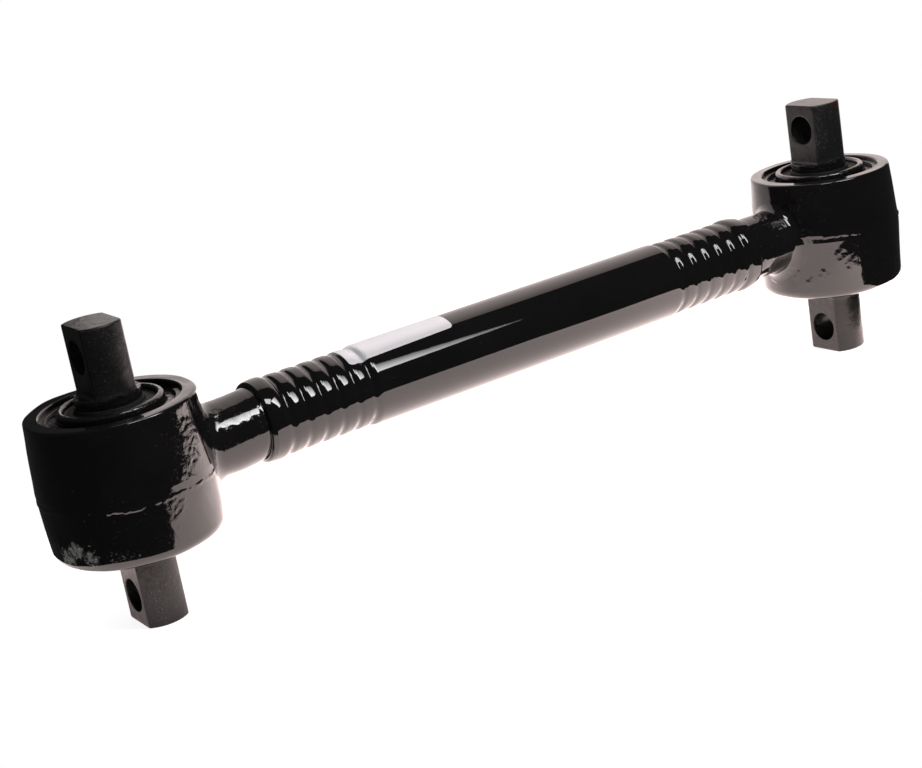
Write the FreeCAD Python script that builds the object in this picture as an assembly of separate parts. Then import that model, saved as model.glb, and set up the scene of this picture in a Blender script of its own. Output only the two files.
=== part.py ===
import FreeCAD, Part
import math
import os

# Axle reaction rod: a steel tube crimped onto two forged heads, each with a rubber-bushed pin.
# X runs along the rod, Z along the pins, and the rod stands on the lower ends of its pins.
# Every length is in millimetres, and the origin is on the floor below the middle of the rod.

# Rod
eye_spacing = 580.0  # from pin axis to pin axis
rod_above_eye = 2.4  # how far the tube and the shanks lie above the middle of the eyes

# Pin
bolt_spacing = 152.0
bolt_hole_radius = 10.5
bolt_hole_chamfer = 0.6
bolt_hole_to_end = 18.5
pin_bar_radius = 19.5
pin_end_chamfer = 1.2
flats_width = 26.7  # across the two flats
flats_root_round = 2.0
ledge_above_eye = 7.0  # from the eye's face up to where the flats end
base_swell = 0.5  # how much thicker the round base is than the bar
base_cone_height = 3.0
ball_swell = 10.0  # how much the ball's radius is larger than the base's
pin_neck_round = 9.0

# Rubber bush
rubber_neck_width = 8.0  # between the pin's base and the cover plate's collar
rubber_clearance = 0.05
rubber_below_collar = 3.0
rubber_lip_height = 2.8
rubber_lip_width = 1.6

# Snap rings in the bore, and the cover plates that they hold down
collar_width = 4.5
collar_above_face = 1.7
collar_round = 0.8
channel_width = 10.0  # between the collar and the bore
plate_thickness = 4.0
plate_clearance = 0.1
ring_thickness = 2.5
ring_width = 5.0
ring_bite = 1.3  # how far the ring reaches into the bore's wall
ring_gap = 60.0  # degrees
ring_gap_from = -5.0  # degrees from +X
ring_depth = 2.9  # from the eye's face down to the ring
groove_play = 0.1

# Forged eye
eye_height = 88.0
eye_wall = 11.1  # at the parting plane of the forging, where the eye is widest
eye_draft = 3.4  # degrees that the outside leans in towards each face
eye_lower_round = 7.5
eye_upper_round = 1.3
bore_chamfer = 0.8
flash_proud = 0.6
flash_height = 2.6

# Forged shank and the spigot that the tube is crimped to
shank_radius = 23.3
shank_fillet = 10.0
bare_shank = 33.4  # between the eye's parting plane and the tube
spigot_length = 88.0
spigot_chamfer = 2.5

# Tube and its crimped grooves
tube_wall = 3.65
tube_end_round = 2.6
crimp_clearance = 0.05  # between the tube and the spigot inside it
groove_count = 6
groove_pitch = 12.0
groove_from_tube_end = 15.0  # to the middle of the outermost groove
groove_depth = 2.2
ridge_drop = 0.8  # how far the ridges between grooves lie below the plain tube
shoulder_share = 0.33  # how far down a groove's shoulders lie, as a share of its depth

# Bare foil label
label_length = 80.0
label_past_groove = 9.0  # how far it reaches over the innermost groove
label_from_angle = 50.0  # degrees up from the front of the tube
label_to_angle = 134.0
label_thickness = 0.15
label_lift = 0.02
label_corner_round = 3.0

# Radii worked out from the pin outwards
pin_base_radius = pin_bar_radius + base_swell
pin_ball_radius = pin_base_radius + ball_swell
collar_inner_radius = pin_base_radius + rubber_neck_width
collar_outer_radius = collar_inner_radius + collar_width
bore_radius = collar_outer_radius + channel_width
ring_outer_radius = bore_radius + ring_bite
plate_radius = bore_radius - plate_clearance
eye_parting_radius = bore_radius + eye_wall
tube_radius = shank_radius + crimp_clearance + tube_wall

# Heights above the middle of the eyes
pin_half = bolt_spacing / 2.0 + bolt_hole_to_end
eye_half = eye_height / 2.0
flats_ledge = eye_half + ledge_above_eye
ring_top = eye_half - ring_depth
ring_bottom = ring_top - ring_thickness
plate_top = ring_bottom - groove_play
plate_bottom = plate_top - plate_thickness
collar_top = eye_half + collar_above_face
rubber_top = collar_top - rubber_below_collar
eye_face_radius = eye_parting_radius - eye_half * math.tan(math.radians(eye_draft))

# Distances from the middle of the rod
eye_middle = eye_spacing / 2.0
tube_half = eye_middle - eye_parting_radius - bare_shank
spigot_end = tube_half - spigot_length
outermost_groove = tube_half - groove_from_tube_end
innermost_groove = outermost_groove - (groove_count - 1) * groove_pitch
label_low = -innermost_groove - label_past_groove
label_high = label_low + label_length

origin = FreeCAD.Vector(0, 0, 0)
along_x = FreeCAD.Vector(1, 0, 0)
along_z = FreeCAD.Vector(0, 0, 1)
rod_level = FreeCAD.Vector(0, 0, rod_above_eye)
eye_level = FreeCAD.Vector(0, 0, pin_half)
full_turn = 360.0
edge_samples = 9
same_place = 0.01  # closer than this, two points count as one


def about_z(radius, height):
    # A point of an outline that is turned about Z.
    return FreeCAD.Vector(radius, 0, height)


def about_x(distance, radius):
    # A point of an outline that is turned about X.
    return FreeCAD.Vector(distance, 0, radius)


def rounded_face(corners, place):
    # A flat face through corners (u, v, round), with an arc at each corner whose round isn't zero.
    spots = [place(u, v) for u, v, corner_round in corners]
    arcs = []
    for index, (u, v, corner_round) in enumerate(corners):
        here = spots[index]
        back = (spots[index - 1] - here).normalize()
        ahead = (spots[(index + 1) % len(spots)] - here).normalize()
        half_angle = back.getAngle(ahead) / 2.0
        reach = corner_round / math.tan(half_angle)
        start = here + back * reach
        end = here + ahead * reach
        arc = None
        if corner_round > 0:
            inward = (back + ahead).normalize()
            middle = here + inward * (corner_round / math.sin(half_angle) - corner_round)
            arc = Part.Arc(start, middle, end).toShape()
        arcs.append((start, end, arc))
    edges = []
    for index, (start, end, arc) in enumerate(arcs):
        edges.append(Part.makeLine(arcs[index - 1][1], start))
        if arc:
            edges.append(arc)
    return Part.Face(Part.Wire(edges))


def turned(face, axis, angle=full_turn):
    return face.revolve(origin, axis, angle)


def mirrored_corners(corners):
    # The same outline below the middle plane, in the order that carries on from the one above.
    return [(u, -v, corner_round) for u, v, corner_round in reversed(corners)]


def groove_line(sink):
    # The rippled line of the crimped grooves on the +X side, from the rod's middle outwards.
    # It is sunk below the tube's outside by a wall or a clearance.
    full = tube_radius - sink
    ridge = full - ridge_drop
    valley = full - groove_depth
    shoulder = ridge - shoulder_share * (ridge - valley)
    points = [about_x(innermost_groove - groove_pitch / 2.0, full)]
    for index in range(groove_count):
        middle = innermost_groove + index * groove_pitch
        points.append(about_x(middle - groove_pitch / 4.0, shoulder))
        points.append(about_x(middle, valley))
        points.append(about_x(middle + groove_pitch / 4.0, shoulder))
        points.append(about_x(middle + groove_pitch / 2.0, ridge))
    points[-1] = about_x(outermost_groove + groove_pitch / 2.0, full)
    curve = Part.BSplineCurve()
    curve.interpolate(Points=points, InitialTangent=along_x, FinalTangent=along_x)
    return curve.toShape()


def to_left(edge):
    # The same edge on the -X side of the rod.
    return edge.mirror(origin, along_x)


def line_loop(groups):
    # A face whose outline runs through each group of edges in turn, with straight lines between.
    edges = []
    for index, group in enumerate(groups):
        end_before = groups[index - 1][-1]
        edges.append(Part.makeLine(end_before, group[0]))
        edges += group[1]
    return Part.Face(Part.Wire(edges))


def edge_group(edge, forwards=True):
    # An edge with the points that an outline enters and leaves it by.
    ends = [edge.valueAt(edge.FirstParameter), edge.valueAt(edge.LastParameter)]
    if not forwards:
        ends.reverse()
    return (ends[0], [edge], ends[1])


def point_group(distance, radius):
    point = about_x(distance, radius)
    return (point, [], point)


def end_round_group(side):
    # The rounded outer edge of the tube's end.
    near = about_x(side * (tube_half - tube_end_round), tube_radius)
    far = about_x(side * tube_half, tube_radius - tube_end_round)
    lean = tube_end_round * math.sqrt(0.5)
    middle = about_x(side * (tube_half - tube_end_round + lean), tube_radius - tube_end_round + lean)
    arc = Part.Arc(near, middle, far).toShape()
    if side > 0:
        return (near, [arc], far)
    return (far, [arc], near)


def make_tube():
    inner_radius = tube_radius - tube_wall
    outside = groove_line(0)
    inside = groove_line(tube_wall)
    groups = [
        end_round_group(-1),
        edge_group(to_left(outside), False),
        edge_group(outside),
        end_round_group(1),
        point_group(tube_half, inner_radius),
        edge_group(inside, False),
        edge_group(to_left(inside)),
        point_group(-tube_half, inner_radius),
    ]
    return turned(line_loop(groups), along_x)


def make_shank():
    # The shank from the middle of the eye to the spigot's end, on the +X side of the rod.
    groups = [
        point_group(spigot_end, 0),
        point_group(spigot_end, shank_radius - spigot_chamfer),
        point_group(spigot_end + spigot_chamfer, shank_radius),
        edge_group(groove_line(tube_wall + crimp_clearance)),
        point_group(eye_middle, shank_radius),
        point_group(eye_middle, 0),
    ]
    return turned(line_loop(groups), along_x)


def make_eye_blank():
    corners = [
        (0, -eye_half, 0),
        (eye_face_radius, -eye_half, eye_lower_round),
        (eye_parting_radius, 0, 0),
        (eye_face_radius, eye_half, eye_upper_round),
        (0, eye_half, 0),
    ]
    return turned(rounded_face(corners, about_z), along_z)


def make_flash():
    # The trimmed seam where the two forging dies met.
    half = flash_height / 2.0
    outer = eye_parting_radius + flash_proud
    root = eye_parting_radius - half * math.tan(math.radians(eye_draft))
    upper = [
        (outer, half / 2.0, 0),
        (root, half, 0),
        (bore_radius, half, 0),
    ]
    return turned(rounded_face(mirrored_corners(upper) + upper, about_z), along_z)


def make_bore():
    # The bore with its chamfered mouths and a groove for a snap ring near each.
    groove_radius = ring_outer_radius + groove_play
    upper = [
        (bore_radius, ring_bottom - groove_play, 0),
        (groove_radius, ring_bottom - groove_play, 0),
        (groove_radius, ring_top + groove_play, 0),
        (bore_radius, ring_top + groove_play, 0),
        (bore_radius, eye_half - bore_chamfer, 0),
        (bore_radius + bore_chamfer, eye_half, 0),
        (bore_radius + bore_chamfer, eye_half + eye_height, 0),
        (0, eye_half + eye_height, 0),
    ]
    return turned(rounded_face(mirrored_corners(upper) + upper, about_z), along_z)


def junction_edges(shape):
    # The edges where the shank runs into the outside of the eye: they lie on it and go round it.
    found = []
    for edge in shape.Edges:
        box = edge.BoundBox
        points = [point - rod_level for point in edge.discretize(edge_samples)]
        radii = [math.hypot(point.y, point.z) for point in points]
        on_shank = max(abs(radius - shank_radius) for radius in radii) < same_place
        beside_eye = box.XMin > tube_half and box.XMax < eye_middle - bore_radius
        if on_shank and beside_eye and box.XLength > same_place and box.ZLength > same_place:
            found.append(edge)
    return found


def make_head():
    # One forging: the eye, its shank and the grooved spigot, on the +X side of the rod.
    eye_place = FreeCAD.Vector(eye_middle, 0, 0)
    blank = make_eye_blank().translated(eye_place).fuse(make_shank().translated(rod_level))
    forging = blank.makeFillet(shank_fillet, junction_edges(blank))
    forging = forging.fuse(make_flash().translated(eye_place))
    return forging.cut(make_bore().translated(eye_place))


def pin_middle(growth):
    # The pin's ball, necks and round base as edges in the XZ plane, up to each base's end.
    # A growth moves every face outwards by that much, as the rubber around the pin needs.
    base = pin_base_radius + growth
    ball = pin_ball_radius + growth
    neck_round = pin_neck_round - growth
    neck_centre_radius = base + neck_round
    neck_centre_height = math.sqrt((ball + neck_round) ** 2 - neck_centre_radius ** 2)
    on_ball = ball / (ball + neck_round)
    ball_top = about_z(neck_centre_radius * on_ball, neck_centre_height * on_ball)
    ball_bottom = about_z(ball_top.x, -ball_top.z)
    neck_top = about_z(base, neck_centre_height)
    neck_bottom = about_z(base, -neck_centre_height)
    towards_corner = math.atan2(ball_top.z - neck_centre_height, ball_top.x - neck_centre_radius)
    middle_angle = (towards_corner - math.pi) / 2.0
    neck_middle = about_z(
        neck_centre_radius + neck_round * math.cos(middle_angle),
        neck_centre_height + neck_round * math.sin(middle_angle),
    )
    neck_mirror = about_z(neck_middle.x, -neck_middle.z)
    return [
        Part.Arc(neck_bottom, neck_mirror, ball_bottom).toShape(),
        Part.Arc(ball_bottom, about_z(ball, 0), ball_top).toShape(),
        Part.Arc(ball_top, neck_middle, neck_top).toShape(),
    ]


def face_beside(middle, upper):
    # A face bounded by the pin's middle and by straight lines through the points above it,
    # which are mirrored below it.
    first = middle[0].Vertexes[0].Point
    last = middle[-1].Vertexes[-1].Point
    lower = [about_z(point.x, -point.z) for point in reversed(upper)]
    loop = [last] + upper + lower + [first]
    lines = [Part.makeLine(start, end) for start, end in zip(loop, loop[1:])]
    return Part.Face(Part.Wire(middle + lines))


def make_flats_cutter(side, end):
    # What is cut away beside one flat: side and end are 1 or -1 along X and Z.
    half = flats_width / 2.0
    corners = [
        (side * half, end * flats_ledge, flats_root_round),
        (side * 2.0 * pin_ball_radius, end * flats_ledge, 0),
        (side * 2.0 * pin_ball_radius, end * bolt_spacing, 0),
        (side * half, end * bolt_spacing, 0),
    ]
    face = rounded_face(corners, about_z)
    face.translate(FreeCAD.Vector(0, -pin_ball_radius, 0))
    return face.extrude(FreeCAD.Vector(0, 2.0 * pin_ball_radius, 0))


def make_bolt_hole(end):
    # The cross hole through both flats at one end, with a small chamfer at each mouth.
    height = end * bolt_spacing / 2.0
    half = flats_width / 2.0
    corners = [
        (-pin_bar_radius, 0, 0),
        (-pin_bar_radius, bolt_hole_radius + bolt_hole_chamfer, 0),
        (-half, bolt_hole_radius + bolt_hole_chamfer, 0),
        (-half + bolt_hole_chamfer, bolt_hole_radius, 0),
        (half - bolt_hole_chamfer, bolt_hole_radius, 0),
        (half, bolt_hole_radius + bolt_hole_chamfer, 0),
        (pin_bar_radius, bolt_hole_radius + bolt_hole_chamfer, 0),
        (pin_bar_radius, 0, 0),
    ]
    return turned(rounded_face(corners, about_x), along_x).translated(along_z * height)


def make_pin():
    # One forged bar: a ball in the middle, round bases, then flats with a bolt hole at each end.
    upper = [
        about_z(pin_base_radius, flats_ledge),
        about_z(pin_bar_radius, flats_ledge + base_cone_height),
        about_z(pin_bar_radius, pin_half - pin_end_chamfer),
        about_z(pin_bar_radius - pin_end_chamfer, pin_half),
        about_z(0, pin_half),
    ]
    pin = turned(face_beside(pin_middle(0), upper), along_z)
    cutters = [make_bolt_hole(end) for end in (-1, 1)]
    cutters += [make_flats_cutter(side, end) for side in (-1, 1) for end in (-1, 1)]
    return pin.cut(cutters)


def make_rubber():
    # The bush between pin and bore, with a neck up inside each plate's collar and a lip at the pin.
    grown_base = pin_base_radius + rubber_clearance
    lip_top = rubber_top + rubber_lip_height
    under_plate = plate_bottom - rubber_clearance
    bush_radius = bore_radius - rubber_clearance
    neck_radius = collar_inner_radius - rubber_clearance
    upper = [
        about_z(grown_base, lip_top),
        about_z(grown_base + rubber_lip_width / 2.0, lip_top),
        about_z(grown_base + rubber_lip_width, rubber_top),
        about_z(neck_radius, rubber_top),
        about_z(neck_radius, under_plate),
        about_z(bush_radius, under_plate),
    ]
    return turned(face_beside(pin_middle(rubber_clearance), upper), along_z)


def make_plate():
    # The upper cover plate: a flat ring under the snap ring, with a collar around the rubber.
    corners = [
        (collar_inner_radius, plate_bottom, 0),
        (plate_radius, plate_bottom, 0),
        (plate_radius, plate_top, 0),
        (collar_outer_radius, plate_top, collar_round),
        (collar_outer_radius, collar_top, collar_round),
        (collar_inner_radius, collar_top, collar_round),
    ]
    return turned(rounded_face(corners, about_z), along_z)


def make_snap_ring():
    # The upper snap ring: a split ring of square-edged wire sprung into its groove.
    inner = ring_outer_radius - ring_width
    corners = [
        (inner, ring_bottom, 0),
        (ring_outer_radius, ring_bottom, 0),
        (ring_outer_radius, ring_top, 0),
        (inner, ring_top, 0),
    ]
    ring = turned(rounded_face(corners, about_z), along_z, full_turn - ring_gap)
    ring.rotate(origin, along_z, ring_gap_from + ring_gap)
    return ring


def make_label():
    # A thin patch wrapped on the tube, cut to a rounded rectangle seen from its middle.
    inner = tube_radius + label_lift
    outer = inner + label_thickness
    shell_corners = [
        (label_low, inner, 0),
        (label_high, inner, 0),
        (label_high, outer, 0),
        (label_low, outer, 0),
    ]
    shell = turned(rounded_face(shell_corners, about_x), along_x)
    half_angle = math.radians(label_to_angle - label_from_angle) / 2.0
    half_width = outer * math.sin(half_angle)
    window_corners = [
        (label_low, -half_width, label_corner_round),
        (label_high, -half_width, label_corner_round),
        (label_high, half_width, label_corner_round),
        (label_low, half_width, label_corner_round),
    ]
    window = rounded_face(window_corners, about_x).extrude(FreeCAD.Vector(0, -2.0 * tube_radius, 0))
    middle_angle = (label_from_angle + label_to_angle) / 2.0
    window.rotate(origin, along_x, -middle_angle)
    return shell.common(window)


def mirrored_z(shape):
    return shape.mirror(origin, along_z)


def save(name, shape):
    # Each piece is placed about the middle of the eyes, and is lifted to its height above the floor here.
    placed = shape.translated(eye_level)
    if placed.ShapeType == "Compound" and len(placed.Solids) == 1:
        placed = placed.Solids[0]
    placed.exportStep("parts/" + name + ".step")
    box = placed.BoundBox
    print(
        name, placed.ShapeType, "solids", len(placed.Solids), "valid", placed.isValid(),
        "volume", round(placed.Volume), "low", round(box.ZMin, 2), "high", round(box.ZMax, 2),
    )


def main():
    os.makedirs("parts", exist_ok=True)
    head = make_head()
    pin = make_pin()
    rubber = make_rubber()
    plate = make_plate()
    ring = make_snap_ring()
    save("tube", make_tube().translated(rod_level))
    save("label_blank", make_label().translated(rod_level))
    for side, name in ((-1, "left"), (1, "right")):
        at_eye = FreeCAD.Vector(side * eye_middle, 0, 0)
        save("head_" + name, head if side > 0 else head.mirror(origin, along_x))
        save("pin_" + name, pin.translated(at_eye))
        save("rubber_bush_" + name, rubber.translated(at_eye))
        for level, place in (("upper", plate), ("lower", mirrored_z(plate))):
            save("cover_plate_" + name + "_" + level, place.translated(at_eye))
        for level, place in (("upper", ring), ("lower", mirrored_z(ring))):
            save("snap_ring_" + name + "_" + level, place.translated(at_eye))


main()
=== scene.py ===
import math

import bpy
import numpy as np
from mathutils import Matrix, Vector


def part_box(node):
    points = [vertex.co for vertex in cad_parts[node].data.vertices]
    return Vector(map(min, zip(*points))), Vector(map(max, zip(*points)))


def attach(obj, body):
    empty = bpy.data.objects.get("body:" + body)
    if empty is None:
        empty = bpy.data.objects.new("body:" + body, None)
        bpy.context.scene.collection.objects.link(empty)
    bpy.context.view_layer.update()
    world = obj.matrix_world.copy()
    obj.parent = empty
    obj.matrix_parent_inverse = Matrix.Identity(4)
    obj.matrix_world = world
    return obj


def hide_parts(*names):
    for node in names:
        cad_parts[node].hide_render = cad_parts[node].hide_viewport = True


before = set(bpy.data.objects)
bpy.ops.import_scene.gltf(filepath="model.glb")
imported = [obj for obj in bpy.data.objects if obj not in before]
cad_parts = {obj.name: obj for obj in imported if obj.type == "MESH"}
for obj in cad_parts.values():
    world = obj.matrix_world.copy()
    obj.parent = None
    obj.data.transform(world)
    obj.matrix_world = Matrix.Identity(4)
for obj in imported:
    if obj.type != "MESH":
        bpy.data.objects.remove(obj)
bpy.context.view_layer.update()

# An axle reaction rod: a tube crimped onto two forged heads, each with a pin in a rubber bush.
# Shapes are worked out in millimetres about the middle of the eyes, and are put into the meshes in metres.
# X runs along the rod and Z along the pins.

pinLow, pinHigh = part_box("pin_right")
tubeLow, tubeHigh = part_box("tube")

rod = {
    "eyeHeight": (pinLow.z + pinHigh.z) * 500.0,
    "aboveEye": (tubeLow.z + tubeHigh.z - pinLow.z - pinHigh.z) * 500.0,
    "eyeMiddle": (pinLow.x + pinHigh.x) * 500.0,
    "tubeHalf": tubeHigh.x * 1000.0,
    "boreRadius": 42.5,
    "eyeHalf": 44.0,
    "shankRadius": 23.3,
}

sides = {"left": -1.0, "right": 1.0}
print("frame loaded, eyes at", round(rod["eyeHeight"], 2), "mm, rod above them by", round(rod["aboveEye"], 2))


# Making meshes

def turnGrid(line, columns):
    # A line of (distance from the axis, height) is carried round Z: x is r cos, y is r sin.
    angles = np.linspace(0.0, 2.0 * np.pi, columns, endpoint=False)
    r = line[:, 0][:, None]
    z = line[:, 1][:, None] + 0.0 * angles[None, :]
    return np.stack([r * np.cos(angles), r * np.sin(angles), z], axis=2)


def alongX(grid):
    # The axis Z is laid along X, so that height becomes the distance along the rod.
    return np.stack([grid[..., 2], grid[..., 0], grid[..., 1] + rod["aboveEye"]], axis=-1)


def quadsOf(rows, columns, wrapRows, wrapColumns):
    # Four corners of each cell of a grid, running round so that the faces look outwards.
    i = np.arange(rows if wrapRows else rows - 1)
    j = np.arange(columns if wrapColumns else columns - 1)
    a, b = np.meshgrid(i, j, indexing="ij")
    nextA, nextB = (a + 1) % rows, (b + 1) % columns
    corners = [a * columns + b, a * columns + nextB, nextA * columns + nextB, nextA * columns + b]
    return np.stack(corners, axis=-1).reshape(-1, 4)


def weld(points, quads):
    # Points closer than a tenth of a micron become one, and cells that lose a side become triangles.
    keys = np.round(points * 1e4).astype(np.int64)
    _, first, inverse = np.unique(keys, axis=0, return_index=True, return_inverse=True)
    quads = inverse.reshape(-1)[quads]
    same = quads == np.roll(quads, -1, axis=1)
    whole = quads[~same.any(axis=1)]
    short = quads[same.sum(axis=1) == 1]
    shortSame = same[same.sum(axis=1) == 1]
    triangles = short[~shortSame].reshape(-1, 3)
    return points[first], whole, triangles


def newPiece(name, grids, body, node, material):
    # Several grids of points become one closed mesh, in metres and in the part's own place.
    points, quads, start = [], [], 0
    for grid, wrapRows, wrapColumns in grids:
        rows, columns = grid.shape[:2]
        points.append(grid.reshape(-1, 3))
        quads.append(quadsOf(rows, columns, wrapRows, wrapColumns) + start)
        start += rows * columns
    points, quads, triangles = weld(np.concatenate(points), np.concatenate(quads))
    points = (points + [0.0, 0.0, rod["eyeHeight"]]) * 0.001
    corners = np.concatenate([quads.ravel(), triangles.ravel()]).astype(np.int32)
    totals = np.concatenate([np.full(len(quads), 4), np.full(len(triangles), 3)])
    starts = np.concatenate([[0], np.cumsum(totals)[:-1]]).astype(np.int32)
    mesh = bpy.data.meshes.new(name)
    mesh.vertices.add(len(points))
    mesh.vertices.foreach_set("co", points.astype(np.float32).ravel())
    mesh.loops.add(len(corners))
    mesh.loops.foreach_set("vertex_index", corners)
    mesh.polygons.add(len(totals))
    mesh.polygons.foreach_set("loop_start", starts)
    mesh.polygons.foreach_set("use_smooth", np.ones(len(totals), dtype=bool))
    mesh.update(calc_edges=True)
    mesh.validate()
    piece = bpy.data.objects.new(name, mesh)
    bpy.context.scene.collection.objects.link(piece)
    mesh.materials.append(material)
    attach(piece, body)
    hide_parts(node)
    return piece


def roundedLine(corners, closed=False, step=2.0, arcPoints=5, nearArc=0.3):
    # Straight runs between (u, v, round) corners, with an arc at each corner, as rows of points.
    # Each run has extra points close to its ends, so that it is shaded flat between its arcs.
    spots = np.array([c[:2] for c in corners], dtype=float)
    count = len(spots)
    pieces = []
    for k in range(count):
        here, size = spots[k], corners[k][2]
        if size <= 0.0 or (not closed and k in (0, count - 1)):
            pieces.append(here[None, :])
            continue
        back, ahead = spots[k - 1] - here, spots[(k + 1) % count] - here
        back, ahead = back / np.linalg.norm(back), ahead / np.linalg.norm(ahead)
        half = 0.5 * math.acos(max(-1.0, min(1.0, float(back @ ahead))))
        reach = size / math.tan(half)
        middle = (back + ahead) / np.linalg.norm(back + ahead)
        centre = here + middle * size / math.sin(half)
        fromCentre, toCentre = here + back * reach - centre, here + ahead * reach - centre
        sweep = math.pi - 2.0 * half
        t = np.linspace(0.0, 1.0, arcPoints)[:, None]
        arc = (np.sin((1.0 - t) * sweep) * fromCentre + np.sin(t * sweep) * toCentre) / math.sin(sweep)
        pieces.append(centre + arc)
    line = [pieces[0]]
    following = pieces[1:] + ([pieces[0]] if closed else [])
    for piece in following:
        start, end = line[-1][-1], piece[0]
        length = np.linalg.norm(end - start)
        cells = max(1, int(round(length / step)))
        inner = np.arange(1, cells) / cells
        if length > 4.0 * nearArc:
            inner = np.unique(np.concatenate([inner, [nearArc / length, 1.0 - nearArc / length]]))
        if len(inner):
            line.append(start + (end - start) * inner[:, None])
        line.append(piece)
    return np.concatenate(line[:-1] if closed else line)


def waves(points, size, seed, count=22):
    # A smooth uneven field of about unit height: a sum of sines in seeded directions,
    # whose lengths lie around the given size.
    rng = np.random.default_rng(seed)
    direction = rng.normal(size=(count, 3))
    direction /= np.linalg.norm(direction, axis=1)[:, None]
    pitch = size * rng.uniform(0.7, 1.6, size=count)
    phase = rng.uniform(0.0, 2.0 * np.pi, size=count)
    total = np.zeros(points.shape[:-1])
    for k in range(count):
        total += np.sin(points @ direction[k] * (2.0 * np.pi / pitch[k]) + phase[k])
    return total * math.sqrt(2.0 / count)


def ease(x, low, high):
    t = np.clip((x - low) / (high - low), 0.0, 1.0)
    return t * t * (3.0 - 2.0 * t)


# Shader groups

def newGroup(name, inputs, outputs):
    group = bpy.data.node_groups.new(name, "ShaderNodeTree")
    for label, kind, value in inputs:
        socket = group.interface.new_socket(name=label, in_out="INPUT", socket_type=kind)
        socket.default_value = value
    for label, kind in outputs:
        group.interface.new_socket(name=label, in_out="OUTPUT", socket_type=kind)
    return group, group.nodes.new("NodeGroupInput"), group.nodes.new("NodeGroupOutput")


def addNode(tree, kind, **settings):
    node = tree.nodes.new(kind)
    for key, value in settings.items():
        setattr(node, key, value)
    return node


def mathNode(tree, operation, first, second, clamp=False):
    node = addNode(tree, "ShaderNodeMath", operation=operation, use_clamp=clamp)
    for socket, value in zip(node.inputs, (first, second)):
        if isinstance(value, (int, float)):
            socket.default_value = value
        else:
            tree.links.new(value, socket)
    return node.outputs[0]


def noiseNode(tree, vector, scale, detail=2.0, roughness=0.5):
    node = addNode(tree, "ShaderNodeTexNoise")
    for label, value in (("Scale", scale), ("Detail", detail), ("Roughness", roughness)):
        if isinstance(value, (int, float)):
            node.inputs[label].default_value = value
        else:
            tree.links.new(value, node.inputs[label])
    tree.links.new(vector, node.inputs["Vector"])
    return node.outputs["Fac"]


def stepNode(tree, value, low, high):
    # 0 below low and 1 above high, with a smooth rise between.
    node = addNode(tree, "ShaderNodeMapRange", interpolation_type="SMOOTHSTEP")
    tree.links.new(value, node.inputs["Value"])
    for label, limit in (("From Min", low), ("From Max", high)):
        if isinstance(limit, (int, float)):
            node.inputs[label].default_value = limit
        else:
            tree.links.new(limit, node.inputs[label])
    return node.outputs["Result"]


def mixColour(tree, factor, first, second):
    node = addNode(tree, "ShaderNodeMix", data_type="RGBA")
    for socket, value in zip((node.inputs[0], node.inputs[6], node.inputs[7]), (factor, first, second)):
        if isinstance(value, tuple):
            socket.default_value = (*value, 1.0)
        elif isinstance(value, float):
            socket.default_value = value
        else:
            tree.links.new(value, socket)
    return node.outputs[2]


def makePaintSkin():
    # Paint that has flowed over a rough surface: long soft waves and short pits, and pale specks of dust.
    group, given, made = newGroup(
        "paintSkin",
        [("Vector", "NodeSocketVector", (0, 0, 0)), ("Wave Scale", "NodeSocketFloat", 120.0),
         ("Pit Scale", "NodeSocketFloat", 600.0), ("Pit Share", "NodeSocketFloat", 0.2),
         ("Speck Scale", "NodeSocketFloat", 900.0), ("Speck Share", "NodeSocketFloat", 0.1)],
        [("Height", "NodeSocketFloat"), ("Specks", "NodeSocketFloat"), ("Tone", "NodeSocketFloat")])
    vector = given.outputs["Vector"]
    wave = noiseNode(group, vector, given.outputs["Wave Scale"], 1.5, 0.45)
    pit = noiseNode(group, vector, given.outputs["Pit Scale"], 3.0, 0.6)
    pits = mathNode(group, "MULTIPLY", stepNode(group, pit, 0.55, 0.75), given.outputs["Pit Share"])
    group.links.new(mathNode(group, "ADD", wave, pits), made.inputs["Height"])
    speck = noiseNode(group, vector, given.outputs["Speck Scale"], 1.0, 0.5)
    patch = noiseNode(group, vector, 35.0, 2.0, 0.6)
    share = mathNode(group, "MULTIPLY", patch, given.outputs["Speck Share"])
    over = mathNode(group, "SUBTRACT", speck, mathNode(group, "SUBTRACT", 0.86, share))
    group.links.new(mathNode(group, "MULTIPLY", over, 25.0, clamp=True), made.inputs["Specks"])
    group.links.new(patch, made.inputs["Tone"])
    return group


paintSkin = makePaintSkin()


def newMaterial(name):
    material = bpy.data.materials.new(name)
    material.use_nodes = True
    tree = material.node_tree
    place = addNode(tree, "ShaderNodeTexCoord").outputs["Object"]
    return material, tree, tree.nodes["Principled BSDF"], place


def useSkin(tree, vector, settings):
    # The skin's height, specks and tone, at the scales that the settings give.
    node = addNode(tree, "ShaderNodeGroup", node_tree=paintSkin)
    tree.links.new(vector, node.inputs["Vector"])
    for label in ("Wave Scale", "Pit Scale", "Pit Share", "Speck Scale", "Speck Share"):
        node.inputs[label].default_value = settings[label[0].lower() + label[1:].replace(" ", "")]
    return [node.outputs[label] for label in ("Height", "Specks", "Tone")]


def addBump(tree, shader, height, distance):
    bump = addNode(tree, "ShaderNodeBump")
    bump.inputs["Distance"].default_value = distance
    bump.inputs["Strength"].default_value = 1.0
    tree.links.new(height, bump.inputs["Height"])
    tree.links.new(bump.outputs["Normal"], shader.inputs["Normal"])


wornPaint = {
    "flakeScale": 330.0,
    "push": 0.42,  # how much more the paint is worn through where the piece is marked as bare
    "from": 0.78,
    "to": 1.0,
    "colour": (0.36, 0.365, 0.34),
}


def pieceMark(tree, name):
    # A share from 0 to 1 that the piece carries at each of its points.
    node = addNode(tree, "ShaderNodeAttribute", attribute_type="GEOMETRY", attribute_name=name)
    return node.outputs["Fac"]


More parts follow.
